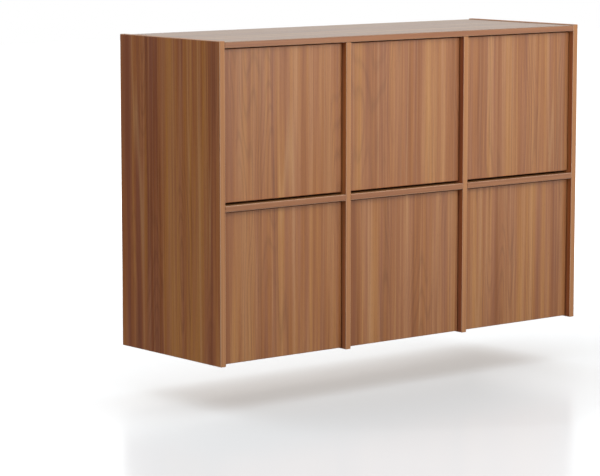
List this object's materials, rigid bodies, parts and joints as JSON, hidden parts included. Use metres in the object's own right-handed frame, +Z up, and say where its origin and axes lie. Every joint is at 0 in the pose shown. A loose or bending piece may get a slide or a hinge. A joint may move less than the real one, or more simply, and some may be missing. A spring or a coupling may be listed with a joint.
{
  "type": "cube storage unit",
  "caption": "Wall-hung cube storage unit in walnut: a flat grid of cubes, each closed by a plain inset door on concealed hinges with a push latch, hung on a steel wall rail.",
  "frame": {"origin": "middle of the hanging rail's wall face, 60 mm under the tops of the side panels", "axes": "+X to the right of someone facing the doors, +Y into the wall, +Z up"},
  "size_m": [1.174, 0.4, 0.77],
  "materials": {
    "walnut_veneer": "satin lacquer",
    "back_board_veneer": "matt lacquer",
    "nickel_plated_steel": "bright nickel plate",
    "zinc_plated_steel": "clear zinc plate",
    "grey_acetal": "fine moulded",
    "dark_acetal": "fine moulded"
  },
  "bodies": {
    "root": {"left_side_panel": "walnut_veneer", "right_side_panel": "walnut_veneer", "divider_1": "walnut_veneer", "divider_2": "walnut_veneer", "top_board": "walnut_veneer", "left_shelf": "walnut_veneer", "centre_shelf": "walnut_veneer", "right_shelf": "walnut_veneer", "left_bottom_board": "walnut_veneer", "centre_bottom_board": "walnut_veneer", "right_bottom_board": "walnut_veneer", "left_back_board": "back_board_veneer", "centre_back_board": "back_board_veneer", "right_back_board": "back_board_veneer", "hanging_rail": "zinc_plated_steel", "left_hanger": "zinc_plated_steel", "right_hanger": "zinc_plated_steel", "upper_left_hinge_arm_top": "nickel_plated_steel", "upper_left_hinge_arm_bottom": "nickel_plated_steel", "upper_left_latch_body": "grey_acetal", "upper_centre_hinge_arm_top": "nickel_plated_steel", "upper_centre_hinge_arm_bottom": "nickel_plated_steel", "upper_centre_latch_body": "grey_acetal", "upper_right_hinge_arm_top": "nickel_plated_steel", "upper_right_hinge_arm_bottom": "nickel_plated_steel", "upper_right_latch_body": "grey_acetal", "lower_left_hinge_arm_top": "nickel_plated_steel", "lower_left_hinge_arm_bottom": "nickel_plated_steel", "lower_left_latch_body": "grey_acetal", "lower_centre_hinge_arm_top": "nickel_plated_steel", "lower_centre_hinge_arm_bottom": "nickel_plated_steel", "lower_centre_latch_body": "grey_acetal", "lower_right_hinge_arm_top": "nickel_plated_steel", "lower_right_hinge_arm_bottom": "nickel_plated_steel", "lower_right_latch_body": "grey_acetal"},
    "upper_left_door": {"upper_left_door": "walnut_veneer", "upper_left_hinge_cup_top": "nickel_plated_steel", "upper_left_hinge_cup_bottom": "nickel_plated_steel"},
    "upper_left_plunger": {"upper_left_latch_plunger": "dark_acetal"},
    "upper_centre_door": {"upper_centre_door": "walnut_veneer", "upper_centre_hinge_cup_top": "nickel_plated_steel", "upper_centre_hinge_cup_bottom": "nickel_plated_steel"},
    "upper_centre_plunger": {"upper_centre_latch_plunger": "dark_acetal"},
    "upper_right_door": {"upper_right_door": "walnut_veneer", "upper_right_hinge_cup_top": "nickel_plated_steel", "upper_right_hinge_cup_bottom": "nickel_plated_steel"},
    "upper_right_plunger": {"upper_right_latch_plunger": "dark_acetal"},
    "lower_left_door": {"lower_left_door": "walnut_veneer", "lower_left_hinge_cup_top": "nickel_plated_steel", "lower_left_hinge_cup_bottom": "nickel_plated_steel"},
    "lower_left_plunger": {"lower_left_latch_plunger": "dark_acetal"},
    "lower_centre_door": {"lower_centre_door": "walnut_veneer", "lower_centre_hinge_cup_top": "nickel_plated_steel", "lower_centre_hinge_cup_bottom": "nickel_plated_steel"},
    "lower_centre_plunger": {"lower_centre_latch_plunger": "dark_acetal"},
    "lower_right_door": {"lower_right_door": "walnut_veneer", "lower_right_hinge_cup_top": "nickel_plated_steel", "lower_right_hinge_cup_bottom": "nickel_plated_steel"},
    "lower_right_plunger": {"lower_right_latch_plunger": "dark_acetal"}
  },
  "joints": [
    {"name": "upper_left_door_hinge", "type": "hinge", "parent": "root", "child": "upper_left_door", "pos_m": [-0.5505, -0.378, -0.14075], "axis": [0, 0, -1], "range_deg": [0, 95]},
    {"name": "upper_left_plunger_slide", "type": "slide", "parent": "root", "child": "upper_left_plunger", "axis": [0, -1, 0], "range_m": [0, 0.008]},
    {"name": "upper_centre_door_hinge", "type": "hinge", "parent": "root", "child": "upper_centre_door", "pos_m": [-0.1645, -0.378, -0.14075], "axis": [0, 0, -1], "range_deg": [0, 95]},
    {"name": "upper_centre_plunger_slide", "type": "slide", "parent": "root", "child": "upper_centre_plunger", "axis": [0, -1, 0], "range_m": [0, 0.008]},
    {"name": "upper_right_door_hinge", "type": "hinge", "parent": "root", "child": "upper_right_door", "pos_m": [0.5505, -0.378, -0.14075], "axis": [0, 0, 1], "range_deg": [0, 95]},
    {"name": "upper_right_plunger_slide", "type": "slide", "parent": "root", "child": "upper_right_plunger", "axis": [0, -1, 0], "range_m": [0, 0.008]},
    {"name": "lower_left_door_hinge", "type": "hinge", "parent": "root", "child": "lower_left_door", "pos_m": [-0.5505, -0.378, -0.52575], "axis": [0, 0, -1], "range_deg": [0, 95]},
    {"name": "lower_left_plunger_slide", "type": "slide", "parent": "root", "child": "lower_left_plunger", "axis": [0, -1, 0], "range_m": [0, 0.008]},
    {"name": "lower_centre_door_hinge", "type": "hinge", "parent": "root", "child": "lower_centre_door", "pos_m": [-0.1645, -0.378, -0.52575], "axis": [0, 0, -1], "range_deg": [0, 95]},
    {"name": "lower_centre_plunger_slide", "type": "slide", "parent": "root", "child": "lower_centre_plunger", "axis": [0, -1, 0], "range_m": [0, 0.008]},
    {"name": "lower_right_door_hinge", "type": "hinge", "parent": "root", "child": "lower_right_door", "pos_m": [0.5505, -0.378, -0.52575], "axis": [0, 0, 1], "range_deg": [0, 95]},
    {"name": "lower_right_plunger_slide", "type": "slide", "parent": "root", "child": "lower_right_plunger", "axis": [0, -1, 0], "range_m": [0, 0.008]}
  ],
  "couplings": [
    {"joint": "upper_left_plunger_slide", "follows": "upper_left_door_hinge", "m_per_rad": 0.0048},
    {"joint": "upper_centre_plunger_slide", "follows": "upper_centre_door_hinge", "m_per_rad": 0.0048},
    {"joint": "upper_right_plunger_slide", "follows": "upper_right_door_hinge", "m_per_rad": 0.0048},
    {"joint": "lower_left_plunger_slide", "follows": "lower_left_door_hinge", "m_per_rad": 0.0048},
    {"joint": "lower_centre_plunger_slide", "follows": "lower_centre_door_hinge", "m_per_rad": 0.0048},
    {"joint": "lower_right_plunger_slide", "follows": "lower_right_door_hinge", "m_per_rad": 0.0048}
  ]
}
